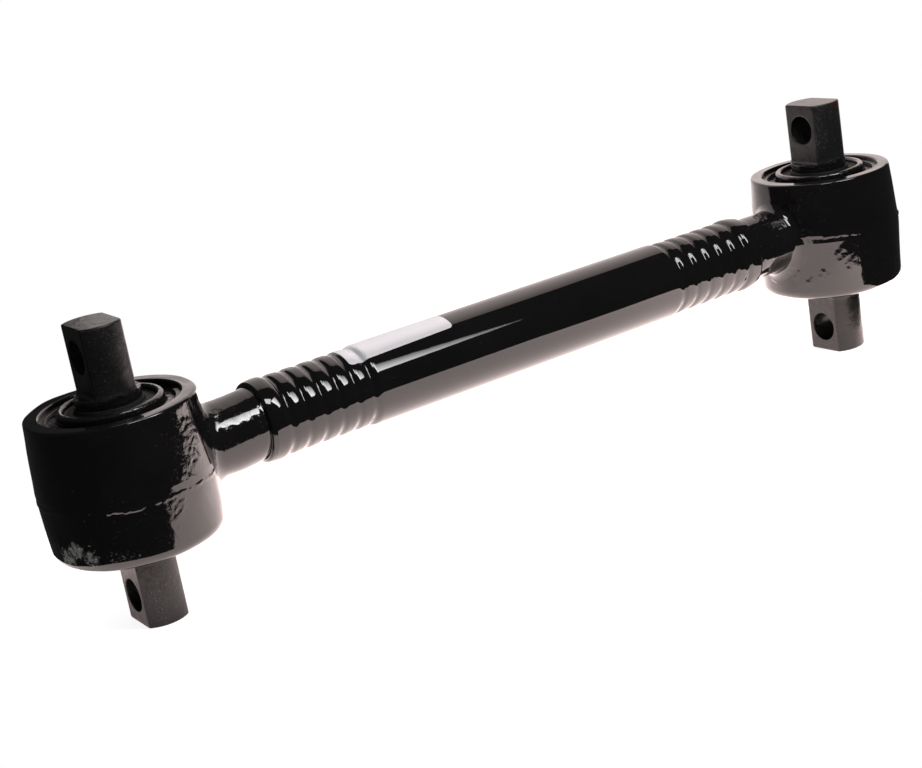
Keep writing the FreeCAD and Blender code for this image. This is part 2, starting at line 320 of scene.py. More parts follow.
def makeEnamel(name, settings):
    # Thick gloss paint, a little brown where it is thin, worn through where the piece is marked as bare,
    # and pitted where it is marked as scab.
    material, tree, shader, place = newMaterial(name)
    height, specks, tone = useSkin(tree, place, settings)
    colour = mixColour(tree, tone, settings["dark"], settings["light"])
    colour = mixColour(tree, specks, colour, settings["dust"])
    push = mathNode(tree, "MULTIPLY", pieceMark(tree, "bare"), wornPaint["push"])
    flakes = mathNode(tree, "ADD", noiseNode(tree, place, wornPaint["flakeScale"], 5.0, 0.75), push)
    worn = stepNode(tree, flakes, wornPaint["from"], wornPaint["to"])
    colour = mixColour(tree, worn, colour, wornPaint["colour"])
    tree.links.new(colour, shader.inputs["Base Color"])
    if "scabDepth" in settings:
        grain = noiseNode(tree, place, settings["scabScale"], 2.0, 0.6)
        grain = mathNode(tree, "MULTIPLY", grain, settings["scabDepth"])
        height = mathNode(tree, "ADD", height, mathNode(tree, "MULTIPLY", grain, pieceMark(tree, "scab")))
    rough = mathNode(tree, "MULTIPLY", tone, settings["roughSpread"])
    rough = mathNode(tree, "ADD", rough, settings["rough"])
    rough = mathNode(tree, "ADD", rough, mathNode(tree, "MULTIPLY", specks, 0.4), clamp=True)
    tree.links.new(rough, shader.inputs["Roughness"])
    shader.inputs["IOR"].default_value = 1.5
    addBump(tree, shader, height, settings["bump"])
    return material


forgedEnamel = makeEnamel("forgedEnamel", {
    "dark": (0.0035, 0.0033, 0.004), "light": (0.008, 0.007, 0.007), "dust": (0.22, 0.21, 0.2),
    "waveScale": 130.0, "pitScale": 620.0, "pitShare": 0.35, "speckScale": 1500.0, "speckShare": 0.16,
    "rough": 0.015, "roughSpread": 0.05, "bump": 0.000045, "scabScale": 520.0, "scabDepth": 9.0,
})

tubeEnamel = makeEnamel("tubeEnamel", {
    "dark": (0.0035, 0.0033, 0.004), "light": (0.007, 0.0065, 0.0065), "dust": (0.25, 0.24, 0.23),
    "waveScale": 60.0, "pitScale": 500.0, "pitShare": 0.05, "speckScale": 1700.0, "speckShare": 0.1,
    "rough": 0.01, "roughSpread": 0.05, "bump": 0.00006,
})

plateEnamel = makeEnamel("plateEnamel", {
    "dark": (0.003, 0.0028, 0.0032), "light": (0.008, 0.007, 0.007), "dust": (0.2, 0.19, 0.17),
    "waveScale": 220.0, "pitScale": 900.0, "pitShare": 0.4, "speckScale": 1500.0, "speckShare": 0.18,
    "rough": 0.05, "roughSpread": 0.12, "bump": 0.0003,
})


def makeDull(name, settings):
    # A plain surface whose tone shifts between two colours, with specks of dust where it has any.
    material, tree, shader, place = newMaterial(name)
    height, specks, tone = useSkin(tree, place, settings)
    colour = mixColour(tree, tone, settings["dark"], settings["light"])
    if "dust" in settings:
        colour = mixColour(tree, specks, colour, settings["dust"])
    tree.links.new(colour, shader.inputs["Base Color"])
    for label in ("Metallic", "Roughness", "IOR"):
        if label.lower() in settings:
            shader.inputs[label].default_value = settings[label.lower()]
    addBump(tree, shader, height, settings["bump"])
    return material


# Black rubber with a fine dull grain.
bushRubber = makeDull("bushRubber", {
    "dark": (0.004, 0.004, 0.004), "light": (0.012, 0.011, 0.011), "dust": (0.12, 0.11, 0.1),
    "waveScale": 260.0, "pitScale": 1400.0, "pitShare": 0.3, "speckScale": 1600.0, "speckShare": 0.12,
    "roughness": 0.62, "ior": 1.3, "bump": 0.0005,
})

# Blackened spring steel, rubbed brighter in places.
ringSteel = makeDull("ringSteel", {
    "dark": (0.02, 0.019, 0.019), "light": (0.09, 0.085, 0.08),
    "waveScale": 300.0, "pitScale": 1500.0, "pitShare": 0.3, "speckScale": 1500.0, "speckShare": 0.1,
    "metallic": 0.6, "roughness": 0.32, "bump": 0.0002,
})

# A bare silver label with a faint sheen and shallow creases.
labelFoil = makeDull("labelFoil", {
    "dark": (0.68, 0.68, 0.71), "light": (0.80, 0.80, 0.84),
    "waveScale": 90.0, "pitScale": 1500.0, "pitShare": 0.15, "speckScale": 1800.0, "speckShare": 0.05,
    "metallic": 0.5, "roughness": 0.38, "bump": 0.0002,
})

pinPaint = {
    "dark": (0.006, 0.0058, 0.006), "light": (0.014, 0.0135, 0.0135), "dust": (0.3, 0.29, 0.28),
    "waveScale": 180.0, "pitScale": 1300.0, "pitShare": 0.5, "speckScale": 1500.0, "speckShare": 0.24,
    "rough": 0.3, "glossier": 0.22,
    "gloss": (0.005, 0.005, 0.0055),
    "edge": 0.0442,  # how far above the eye's middle the gloss paint reaches
    "edgeSoft": 0.0004,
    "rag": 0.012,  # how far its ragged edge climbs
    "tintSlope": 0.6,  # the reddish tint grows to the right and upwards
    "tintFrom": 0.408,
    "tintTo": 0.428,
    "tintRag": 0.02,
    "tint": (0.05, 0.0135, 0.009),
}


def makePinSteel():
    # Dull phosphated steel, with gloss paint round the base and a reddish tint on the far right pin.
    material, tree, shader, place = newMaterial("pinSteel")
    height, specks, tone = useSkin(tree, place, pinPaint)
    colour = mixColour(tree, tone, pinPaint["dark"], pinPaint["light"])
    colour = mixColour(tree, specks, colour, pinPaint["dust"])
    parts = addNode(tree, "ShaderNodeSeparateXYZ")
    tree.links.new(place, parts.inputs[0])
    cloud = mathNode(tree, "MULTIPLY", noiseNode(tree, place, 90.0, 3.0, 0.6), pinPaint["tintRag"])
    reach = mathNode(tree, "ADD", mathNode(tree, "ADD", parts.outputs["X"], cloud),
                     mathNode(tree, "MULTIPLY", parts.outputs["Z"], pinPaint["tintSlope"]))
    tinted = stepNode(tree, reach, pinPaint["tintFrom"], pinPaint["tintTo"])
    colour = mixColour(tree, tinted, colour, pinPaint["tint"])
    fromMiddle = mathNode(tree, "SUBTRACT", parts.outputs["Z"], rod["eyeHeight"] * 0.001)
    rag = mathNode(tree, "MULTIPLY", noiseNode(tree, place, 140.0, 3.0, 0.6), pinPaint["rag"])
    above = mathNode(tree, "SUBTRACT", mathNode(tree, "ABSOLUTE", fromMiddle, 0.0), rag)
    bare = stepNode(tree, above, pinPaint["edge"], pinPaint["edge"] + pinPaint["edgeSoft"])
    painted = mathNode(tree, "SUBTRACT", 1.0, bare)
    colour = mixColour(tree, painted, colour, pinPaint["gloss"])
    tree.links.new(colour, shader.inputs["Base Color"])
    smoother = mathNode(tree, "MULTIPLY", painted, pinPaint["glossier"])
    tree.links.new(mathNode(tree, "SUBTRACT", pinPaint["rough"], smoother), shader.inputs["Roughness"])
    shader.inputs["IOR"].default_value = 1.38
    addBump(tree, shader, height, 0.0003)
    return material


pinSteel = makePinSteel()
print("materials made")


# Tube with its crimped grooves

tube = {
    "radius": 27.0,
    "wall": 3.65,
    "endRound": 2.6,
    "grooves": 6,
    "pitch": 12.0,
    "firstFromEnd": 15.0,  # from the tube's end to the middle of the outermost groove
    "depth": 2.2,
    "ridgeDrop": 0.8,
    "sharpness": 2.6,
    "shallow": 0.8,  # how much shallower the grooves are low on the front
    "shallowAngle": 194.0,  # degrees round the tube from +Y
    "shallowSpread": 28.0,
    "endFall": 1.3,  # how far the collar beyond the grooves falls towards the tube's end
    "columns": 160,
}
tube["outermost"] = rod["tubeHalf"] - tube["firstFromEnd"]
tube["innermost"] = tube["outermost"] - (tube["grooves"] - 1) * tube["pitch"]


def crimpDrop(x):
    # How far the outside lies below the plain tube at a distance x from the rod's middle:
    # raised cosines make the grooves, and the ridges between them are pressed down a little too.
    place = np.abs(x)
    phase = (place - tube["innermost"]) / tube["pitch"]
    dip = (0.5 + 0.5 * np.cos(2.0 * np.pi * phase)) ** tube["sharpness"]
    low, high = tube["innermost"] - 0.5 * tube["pitch"], tube["outermost"] + 0.5 * tube["pitch"]
    inside = ease(place, low - 0.01, low + 0.01) * (1.0 - ease(place, high - 0.01, high + 0.01))
    half = 0.5 * tube["pitch"]
    pressed = ease(place, low, low + half) * (1.0 - ease(place, high - half, high))
    fall = tube["endFall"] * np.clip((place - high) / (rod["tubeHalf"] - high), 0.0, 1.0) ** 2
    return inside * (dip * (tube["depth"] - tube["ridgeDrop"]) + pressed * tube["ridgeDrop"]) + fall


def innerDrop(x):
    # The metal inside follows the crimps as far as the outermost groove.
    return np.where(np.abs(x) < tube["outermost"] + 5.0, crimpDrop(x), 0.0)


def crimpShare(around):
    # The jaws bite less deep low on the front.
    away = (np.degrees(around) - tube["shallowAngle"]) / tube["shallowSpread"]
    return 1.0 - tube["shallow"] * np.exp(-away ** 2)


def makeTube():
    # A line of (radius, distance along the rod) runs from one end round to the other, outside and back
    # inside, and is turned about the rod: each point lies at (x, r cos a, r sin a).
    half = rod["tubeHalf"]
    crimped = np.arange(tube["innermost"] - 7.0, half - tube["endRound"], 0.55)
    plain = np.linspace(-crimped[0], crimped[0], 72)[1:-1]
    x = np.concatenate([-crimped[::-1], plain, crimped])
    outside = np.stack([tube["radius"] + 0.0 * x, x], axis=1)
    turn = np.linspace(0.0, 0.5 * np.pi, 7)
    atEnd = tube["radius"] - crimpDrop(half - tube["endRound"])
    endArc = np.stack([atEnd - tube["endRound"] * (1.0 - np.cos(turn)),
                       half - tube["endRound"] * (1.0 - np.sin(turn))], axis=1)
    bore = tube["radius"] - tube["wall"]
    face = np.array([[bore + 0.5, half], [bore + 0.15, half - 0.15], [bore, half - 0.5]])
    xInside = np.arange(-half + 3.0, half - 2.0, 3.0)
    inside = np.stack([bore - innerDrop(xInside), xInside], axis=1)
    flip = np.array([1.0, -1.0])
    line = np.concatenate([
        (endArc * flip)[::-1], outside, endArc, face, inside[::-1], (face * flip)[::-1]])
    grid = turnGrid(line, tube["columns"])
    outsideRows = slice(len(endArc), len(endArc) + len(outside))
    around = np.linspace(0.0, 2.0 * np.pi, tube["columns"], endpoint=False)
    drop = crimpDrop(x)[:, None] * crimpShare(around)[None, :]
    grid[outsideRows, :, :2] *= (1.0 - drop / tube["radius"])[:, :, None]
    grid = alongX(grid[::-1])
    return newPiece("crimpedTube", [(grid, True, True)], "rod", "tube", tubeEnamel)


makeTube()
print("tube made")


# Bare label

label = {
    "low": -137.0,
    "length": 80.0,
    "fromAngle": 50.0,
    "toAngle": 134.0,
    "skew": 5.0,  # degrees that its lower edge climbs from end to end
    "thickness": 0.12,
    "lift": 0.03,
    "cornerRound": 3.0,
}


def makeLabel():
    # The patch is a grid of distance along the tube and angle round it. Near its ends the width shrinks
    # along a circle, which rounds the corners, and it follows the tube down into the groove that it covers.
    half = 0.5 * label["length"]
    bend = np.linspace(0.0, 0.5 * np.pi, 10)
    ends = half - label["cornerRound"] * (1.0 - np.sin(bend))
    plain = np.linspace(-ends[0], ends[0], 120)
    along = np.concatenate([-ends[::-1], plain[1:-1], ends])
    outer = tube["radius"] + label["lift"] + label["thickness"]
    halfAngle = math.radians(0.5 * (label["toAngle"] - label["fromAngle"]))
    over = np.clip(np.abs(along) - (half - label["cornerRound"]), 0.0, label["cornerRound"])
    cut = label["cornerRound"] - np.sqrt(np.maximum(label["cornerRound"] ** 2 - over ** 2, 0.0))
    width = outer * halfAngle - cut
    across = np.linspace(-1.0, 1.0, 49)
    climb = math.radians(label["skew"]) * (along / (2.0 * half) + 0.5)
    narrow = 1.0 - 0.5 * climb / halfAngle
    middle = math.radians(0.5 * (label["toAngle"] + label["fromAngle"])) + 0.5 * climb
    angle = middle[:, None] + across[None, :] * (width * narrow / outer)[:, None]
    x = label["low"] + half + along[:, None] + 0.0 * angle
    base = tube["radius"] - crimpDrop(x) + label["lift"]

    def sheet(radius):
        return np.stack([x, -radius * np.cos(angle), radius * np.sin(angle) + rod["aboveEye"]], axis=2)

    top, under = sheet(base + label["thickness"]), sheet(base)
    rim = np.concatenate([top[0, :-1], top[:-1, -1], top[-1, :0:-1], top[:0:-1, 0]])
    rimUnder = np.concatenate([under[0, :-1], under[:-1, -1], under[-1, :0:-1], under[:0:-1, 0]])
    edge = np.stack([rim, rimUnder])
    grids = [(top[::-1], False, False), (under, False, False), (edge[::-1], False, True)]
    return newPiece("bareLabel", grids, "rod", "label_blank", labelFoil)


makeLabel()
print("label made")


# Forged heads

head = {
    "partingRadius": 53.6,
    "faceRadius": 50.985,
    "lowerRound": 7.5,
    "upperRound": 1.6,
    "partingRound": 5.0,
    "mouthRound": 0.35,
    "grooveRound": 0.2,
    "boreChamfer": 0.8,
    "grooveRadius": 43.9,
    "grooveTop": 41.2,
    "grooveBottom": 38.5,
    "fillet": 10.0,
    "filletLean": 1.5,  # how much tighter the fillet is above than below
    "spigotEnd": 115.0,
    "spigotChamfer": 2.5,
    "capRadius": 48.0,  # where the shank's hidden end closes, inside the eye's wall
    "shankUp": {"left": -1.4, "right": 0.0},  # how much thicker the bare shank gets on top towards the eye
    "shankDown": {"left": 2.2, "right": -1.0},  # and below
    "seamHeight": {"left": -5.2, "right": 4.5},
    "flashProud": 0.7,
    "flashWidth": 0.7,
    "swell": 0.14,  # height of the long uneven waves
    "swellSize": 34.0,
    "crust": 0.16,
    "crustSize": 4.2,
    "dents": 0.018,
    "dentSize": 9.0,
    "seed": {"left": 11, "right": 37},
    "columns": 320,
    "spigotRows": 44,
    "scabs": {
        "left": [(-264.0, -45.4, 28.0, 6.0), (-264.0, -45.5, 20.0, 7.0), (-265.0, -46.0, 11.0, 7.0),
                 (-271.0, -49.0, 5.0, 6.0), (-286.0, -52.0, -9.0, 6.0), (-281.0, -51.5, -11.0, 6.0),
                 (-285.0, -52.0, -16.0, 5.0), (-341.0, -12.0, -29.0, 7.0), (-337.0, -23.0, -29.0, 7.0),
                 (-333.0, -30.0, -25.0, 5.0), (-231.0, -14.0, 20.0, 5.0)],
        "right": [(222.0, -6.0, 26.0, 5.0), (228.0, -17.0, 18.0, 3.0),
                  (262.0, -44.0, -11.0, 5.0), (268.0, -47.0, -17.0, 6.0), (251.0, -34.0, -24.0, 4.0),
                  (245.0, -26.0, -29.0, 4.0), (238.0, -16.0, -21.0, 5.0)],
    },
    "bareSpots": {
        "left": [(-341.0, -14.0, -34.0, 9.0), (-333.0, -30.0, -33.0, 7.0), (-338.0, -22.0, -28.0, 7.0)],
        "right": [],
    },
}


def flashHeight(angle, sideName):
    # The trimmed seam wanders a little round the eye.
    wander = 0.9 * np.sin(angle * 2.0 + 1.1) + 0.6 * np.sin(angle * 5.0 + 1.9) + 0.35 * np.sin(angle * 17.0)
    ripple = 0.25 * np.sin(angle * 41.0) + 0.2 * np.sin(angle * 73.0 + 1.0)
    return head["seamHeight"][sideName] + wander + ripple


def eyeBulge(angle, height, sideName):
    # How far the outside stands off the drawn shape, as the real forgings do: more on the left eye's
    # outer end, and leaning outwards to the bottom on the right eye's.
    outer = 0.5 + 0.5 * np.cos(angle)
    if sideName == "left":
        return 0.35 + 0.7 * (1.0 - outer) ** 2 * (1.0 + 0.9 * np.exp(-((height + 28.0) / 14.0) ** 2))
    return 0.2 - 0.9 * outer ** 2 * np.clip((height - 4.0) / 40.0, -0.6, 1.0)


def patchShare(points, spots):
    # 1 in the middle of the nearest of a few round patches (x, y, z, size), falling to 0 outside it.
    share = np.zeros(points.shape[:-1])
    for x, y, z, size in spots:
        share = np.maximum(share, np.exp(-(((points - [x, y, z]) / size) ** 2).sum(axis=-1) ** 2))
    return share


def forgeSkin(points, outward, mask, sideName, seed):
    # The scale and die wear of a forging: long waves and short dents, pushed in or out along the surface,
    # with a coarser crust in the rough patches.
    lift = head["swell"] * waves(points, head["swellSize"], seed)
    lift = lift + head["dents"] * waves(points, head["dentSize"], seed + 1)
    crust = waves(points, head["crustSize"], seed + 2, 40)
    lift = lift + head["crust"] * patchShare(points, head["scabs"][sideName]) * crust
    return points + outward * (lift * mask)[..., None]


def gridNormals(grid, wrapRows, wrapColumns):
    # The direction that each point of a grid faces, from its neighbours on both sides.
    def slope(axis, wrap):
        if wrap:
            return np.roll(grid, -1, axis=axis) - np.roll(grid, 1, axis=axis)
        return np.gradient(grid, axis=axis)
    normal = np.cross(slope(1, wrapColumns), slope(0, wrapRows))
    return normal / np.maximum(np.linalg.norm(normal, axis=-1, keepdims=True), 1e-9)


def makeEye(sideName, side, seed):
    # A ring turned about the pin's axis, from the top face down the outside and back up through the bore.
    high, bore = rod["eyeHalf"], rod["boreRadius"]
    mouth = bore + head["boreChamfer"]
    soft, small = head["mouthRound"], head["grooveRound"]
    corners = [
        (mouth, high, soft),
        (head["faceRadius"], high, head["upperRound"]),
        (head["partingRadius"], 0.0, head["partingRound"]),
        (head["faceRadius"], -high, head["lowerRound"]),
        (mouth, -high, soft),
        (bore, -high + head["boreChamfer"], soft),
        (bore, -head["grooveTop"], small),
        (head["grooveRadius"], -head["grooveTop"], small),
        (head["grooveRadius"], -head["grooveBottom"], small),
        (bore, -head["grooveBottom"], small),
        (bore, head["grooveBottom"], small),
        (head["grooveRadius"], head["grooveBottom"], small),
        (head["grooveRadius"], head["grooveTop"], small),
        (bore, head["grooveTop"], small),
        (bore, high - head["boreChamfer"], soft),
    ]
    line = roundedLine(corners, closed=True, step=0.9, arcPoints=7)
    # The bore's plain wall, behind the rubber, needs only every sixth row.
    plainWall = (line[:, 0] < bore + 0.01) & (np.abs(line[:, 1]) < 36.0)
    line = line[~plainWall | (np.arange(len(line)) % 6 == 0)]
    grid = turnGrid(line[::-1], head["columns"])
    normal = gridNormals(grid, True, True)
    fromAxis = np.hypot(grid[..., 0], grid[..., 1])
    mask = ease(fromAxis, bore + 1.2, bore + 3.0)
    angle = np.arctan2(grid[..., 1], grid[..., 0])
    gap = (grid[..., 2] - flashHeight(angle, sideName)) / head["flashWidth"]
    ragged = np.clip(0.75 + 0.4 * waves(grid, 5.0, seed + 5), 0.2, 1.1)
    seam = head["flashProud"] * np.exp(-gap ** 2) * ragged * (fromAxis > head["faceRadius"])
    bulge = eyeBulge(angle, grid[..., 2], sideName) * ease(fromAxis, bore + 4.0, bore + 8.0)
    outwards = np.stack([np.cos(angle), np.sin(angle), 0.0 * angle], axis=2)
    grid = grid + normal * seam[..., None] + outwards * bulge[..., None]
    placed = grid + [side * rod["eyeMiddle"], 0.0, 0.0]
    return forgeSkin(placed, normal, mask, sideName, seed)


def makeShank(sideName, side, seed):
    # The round shank runs into the eye over a rolled fillet: at each angle a ball touches both, and the
    # surface follows the ball from the shank round to the eye. Beyond that it turns in and closes inside
    # the eye's wall.
    around = np.linspace(0.0, 2.0 * np.pi, 192, endpoint=False)
    cosA, sinA = np.cos(around), np.sin(around)
    middle = rod["eyeMiddle"]
    above = 0.5 + 0.5 * sinA
    thicker = head["shankUp"][sideName] * above + head["shankDown"][sideName] * (1.0 - above)
    radius = rod["shankRadius"] + thicker
    ball = head["fillet"] - head["filletLean"] * sinA
    y, z = (radius + ball) * cosA, (radius + ball) * sinA
    lean = (head["partingRadius"] - head["faceRadius"]) / rod["eyeHalf"]
    eyeRadius = head["partingRadius"] - np.abs(z + rod["aboveEye"]) * lean
    x = middle - np.sqrt((eyeRadius + ball) ** 2 - y ** 2)
    centre = np.stack([x, y, z], axis=1)
    toShank = np.stack([0.0 * x, -cosA, -sinA], axis=1)
    toEye = np.stack([middle - x, -y, 0.0 * z], axis=1)
    toEye /= np.linalg.norm(toEye, axis=1)[:, None]
    turn = np.arccos(np.clip((toShank * toEye).sum(axis=1), -1.0, 1.0))[None, :, None]
    t = np.linspace(0.0, 1.0, 22)[:, None, None]
    onBall = (np.sin((1.0 - t) * turn) * toShank + np.sin(t * turn) * toEye) / np.sin(turn)
    fillet = centre + ball[None, :, None] * onBall
    rim = fillet[-1]
    inward = np.stack([middle - rim[:, 0], -rim[:, 1], 0.0 * rim[:, 2]], axis=1)
    inward /= np.linalg.norm(inward, axis=1)[:, None]
    sink = np.array([0.4, 1.2, 2.5, 4.0])[:, None, None]
    dive = rim + sink * inward
    last = dive[-1]
    shrink = np.linspace(1.0, 0.0, 9)[1:, None]
    capY, capZ = last[:, 1] * shrink, last[:, 2] * shrink
    capRadius = np.hypot(middle - last[:, 0], last[:, 1])
    capRadius = capRadius * shrink + head["capRadius"] * (1.0 - shrink)
    cap = np.stack([middle - np.sqrt(capRadius ** 2 - capY ** 2), capY, capZ], axis=2)
    sunk = rod["shankRadius"]
    startX = rod["tubeHalf"] + 1.5
    xs = np.linspace(head["spigotEnd"] + head["spigotChamfer"], startX, head["spigotRows"])
    spigotRadius = np.concatenate([[0.0, sunk - head["spigotChamfer"]], sunk - innerDrop(xs)])[:, None]
    xs = np.concatenate([[head["spigotEnd"], head["spigotEnd"]], xs])[:, None]
    spigot = np.stack([xs + 0.0 * cosA, spigotRadius * cosA, spigotRadius * sinA], axis=2)
    share = np.linspace(0.0, 1.0, 34)[1:-1, None]
    bareX = startX + share * (fillet[0, :, 0][None, :] - startX)
    grow = ease(bareX, startX - 8.0, startX + 22.0)
    bareRadius = sunk + (radius[None, :] - sunk) * grow
    bare = np.stack([bareX, bareRadius * cosA, bareRadius * sinA], axis=2)
    grid = np.concatenate([spigot, bare, fillet, dive, cap]) + [0.0, 0.0, rod["aboveEye"]]
    mask = ease(grid[..., 0], rod["tubeHalf"] + 1.0, rod["tubeHalf"] + 6.0)
    rowShare = np.ones(len(grid))
    rowShare[-len(cap) - len(dive):] = 0.0
    mask = mask * rowShare[:, None]
    if side < 0:
        grid = grid * [-1.0, 1.0, 1.0]
        grid = grid[:, ::-1]
    grid = grid[::-1]
    normal = gridNormals(grid, False, True)
    mask = mask[::-1] if side > 0 else mask[::-1, ::-1]
    return forgeSkin(grid, normal, mask, sideName, seed)


def markPatches(piece, label, spots):
    # Writes how far each point lies in the patches, for the paint to read.
    points = np.empty(len(piece.data.vertices) * 3, dtype=np.float32)
    piece.data.vertices.foreach_get("co", points)
    points = points.reshape(-1, 3) * 1000.0 - [0.0, 0.0, rod["eyeHeight"]]
    attribute = piece.data.attributes.new(label, "FLOAT", "POINT")
    attribute.data.foreach_set("value", patchShare(points, spots).astype(np.float32))


for sideName, side in sides.items():
    seed = head["seed"][sideName]
    eye, shank = makeEye(sideName, side, seed), makeShank(sideName, side, seed)
    piece = newPiece("forgedHead_" + sideName, [(eye, True, True), (shank, False, True)],
                     "rod", "head_" + sideName, forgedEnamel)
    markPatches(piece, "scab", head["scabs"][sideName])
    markPatches(piece, "bare", head["bareSpots"][sideName])
print("heads made")


# Pins

pin = {
    "barRadius": 19.5,
    "baseRadius": 20.0,
    "ballRadius": 30.0,
    "neckRound": 9.0,
    "flat": 13.35,
    "ledge": 51.0,
    "coneHeight": 3.0,
    "rootRound": 2.0,
    "half": 94.5,
    "endChamfer": 1.2,
    "holeHeight": 76.0,
    "holeRadius": 10.5,
    "holeChamfer": 0.6,
    "holeBand": 13.2,  # how far above and below a hole its patch reaches
    "holeAngle": 43.0,  # and how far round, in degrees
    "edgeRound": 0.9,
    "columns": 256,
}


def softMin(a, b, reach):
    # The smaller of two lengths, rounded over where they are closer than reach.
    near = np.maximum(reach - np.abs(a - b), 0.0) / reach
    return np.minimum(a, b) - near * near * reach * 0.25


def pinRows():
    # Rows from the pin's middle up to its end: height, round radius, and distance out to the flats, which
    # is far outside where the pin is round.
    far = 2.0 * pin["baseRadius"]
    base, ball, neck = pin["baseRadius"], pin["ballRadius"], pin["neckRound"]
    neckAxis = base + neck
    neckHeight = math.sqrt((ball + neck) ** 2 - neckAxis ** 2)
    touch = math.atan2(neckHeight, neckAxis)
    onBall = np.linspace(0.0, touch, 12)
    onNeck = np.linspace(touch, 0.0, 8)[1:]
    rows = [(ball * math.sin(a), ball * math.cos(a), far) for a in onBall]
    rows += [(neckHeight - neck * math.sin(a), neckAxis - neck * math.cos(a), far) for a in onNeck]
    rows += [(z, base, far) for z in np.linspace(neckHeight + 1.0, pin["ledge"] - 1.2, 22)]
    # The ledge is crossed from the outside in, and its edge is rounded over.
    for k, out in enumerate(np.linspace(base + 0.6, pin["flat"] + pin["rootRound"], 12)):
        fall = min(1.0, max(0.0, (out - base + 0.9) / 1.5))
        rows.append((pin["ledge"] - 0.5 * (1.0 - math.sqrt(1.0 - fall ** 2)) + 0.004 * k, base, out))
    for a in np.linspace(0.0, 0.5 * math.pi, 7)[1:]:
        rows.append((pin["ledge"] + 0.05 + pin["rootRound"] * (1.0 - math.cos(a)), base,
                     pin["flat"] + pin["rootRound"] * (1.0 - math.sin(a))))
    chamfer = pin["endChamfer"]
    straight = pin["half"] - chamfer
    rows += [(z, base, pin["flat"]) for z in np.arange(pin["ledge"] + 3.0, straight - 0.6, 1.0)]
    rows += [(straight - 0.3, base, pin["flat"]), (straight - 0.01, base, pin["flat"])]
    for a in np.linspace(0.0, 0.5 * math.pi, 6)[1:]:
        rows.append((pin["half"] - chamfer * (1.0 - math.sin(a)), base,
                     pin["flat"] - 0.5 * (1.0 - math.cos(a))))
    rows = np.array(rows)
    up = rows[:, 0]
    slim = base - (base - pin["barRadius"]) * ease(up, pin["ledge"] + 0.2, pin["ledge"] + pin["coneHeight"])
    nearEnd = np.clip((up - straight) / chamfer, 0.0, 1.0)
    slim = slim - chamfer * (1.0 - np.sqrt(np.maximum(1.0 - nearEnd ** 2, 0.0)))
    rows[:, 1] = np.where(up > pin["ledge"] - 0.8, slim, rows[:, 1])
    return rows


def holeParts(band, end):
    # The cells beside the flats stay. On each flat a patch runs from the border of the left out cells to the
    # hole's rim and over its lip, and the hole's wall joins the two lips.
    count = pin["columns"]
    reach = int(round(pin["holeAngle"] / 360.0 * count))
    beside = np.arange(reach, count // 2 - reach + 1)
    parts = [(band[:, beside], False, False), (band[:, (beside + count // 2) % count], False, False)]
    span = np.arange(-reach, reach + 1)
    steps = np.array([0.0, 0.25, 0.55, 0.8, 1.0])[:, None, None]
    middle, chamfer = end * pin["holeHeight"], pin["holeChamfer"]
    mouth = pin["holeRadius"] + chamfer
    lips = []
    for face in (1.0, -1.0):
        window = band[:, span % count] if face > 0 else band[:, (count // 2 - span) % count]
        border = np.concatenate([window[0, :-1], window[:-1, -1], window[-1, :0:-1], window[:0:-1, 0]])
        bearing = np.arctan2(border[:, 2] - middle, border[:, 1])

        def circle(size, out):
            return np.stack([0.0 * bearing + face * out, size * np.cos(bearing),
                             middle + size * np.sin(bearing)], axis=1)

        flatPart = border + (circle(mouth, pin["flat"]) - border) * steps
        turn = np.linspace(0.0, 0.5 * np.pi, 5)[1:]
        lip = [circle(mouth - chamfer * math.sin(a), pin["flat"] - chamfer * (1.0 - math.cos(a)))
               for a in turn]
        patch = np.concatenate([flatPart, np.stack(lip)])
        parts.append((patch if face > 0 else patch[:, ::-1], False, True))
        lips.append(patch[-1])
    t = np.linspace(0.0, 1.0, 12)[:, None, None]
    return parts + [(lips[0] * (1.0 - t) + lips[1] * t, False, True)]


def makePin(side):
    # At angle a round the pin the radius is the smaller of the bar's and of the flat's distance over cos a.
    # The cells round each bolt hole are left out, and the hole's own parts fill the gap.
    upper = pinRows()
    rows = np.concatenate([upper[:0:-1] * [-1.0, 1.0, 1.0], upper])
    angles = np.arange(pin["columns"]) * 2.0 * np.pi / pin["columns"]
    reach = rows[:, 2][:, None] / np.maximum(np.abs(np.cos(angles)), 0.02)[None, :]
    radius = softMin(rows[:, 1][:, None] + 0.0 * reach, reach, pin["edgeRound"])
    up = rows[:, 0][:, None] + 0.0 * radius
    bar = np.stack([radius * np.cos(angles), radius * np.sin(angles), up], axis=2)
    endShrink = [0.96, 0.85, 0.65, 0.4, 0.2, 0.0]
    top = np.stack([bar[-1] * [s, s, 1.0] for s in endShrink])
    bottom = np.stack([bar[0] * [s, s, 1.0] for s in endShrink[::-1]])
    full = np.concatenate([bottom, bar, top])[::-1]
    upBand, downBand = (np.where(np.abs(full[:, 0, 2] - end * pin["holeHeight"]) < pin["holeBand"])[0]
                        for end in (1.0, -1.0))
    between = (full[:upBand[0] + 1], full[upBand[-1]:downBand[0] + 1], full[downBand[-1]:])
    parts = [(grid, False, True) for grid in between]
    parts += holeParts(full[upBand], 1.0) + holeParts(full[downBand], -1.0)
    return [(grid + [side * rod["eyeMiddle"], 0.0, 0.0], wrapA, wrapB) for grid, wrapA, wrapB in parts]


for sideName, side in sides.items():
    newPiece("pinBar_" + sideName, makePin(side), sideName + "_pin", "pin_" + sideName,
             pinSteel)
print("pins made")


# Rubber bushes, cover plates and snap rings

bush = {
    "neckTop": 42.7,
    "lipTop": 45.3,
    "lipWidth": 1.6,
    "play": 0.05,
    "columns": 144,
}

plate = {
    "innerRadius": 28.0,
    "collarRadius": 32.5,
    "outerRadius": 42.4,
    "low": 34.5,
    "high": 38.5,
    "collarTop": 45.7,
    "columns": 192,
}

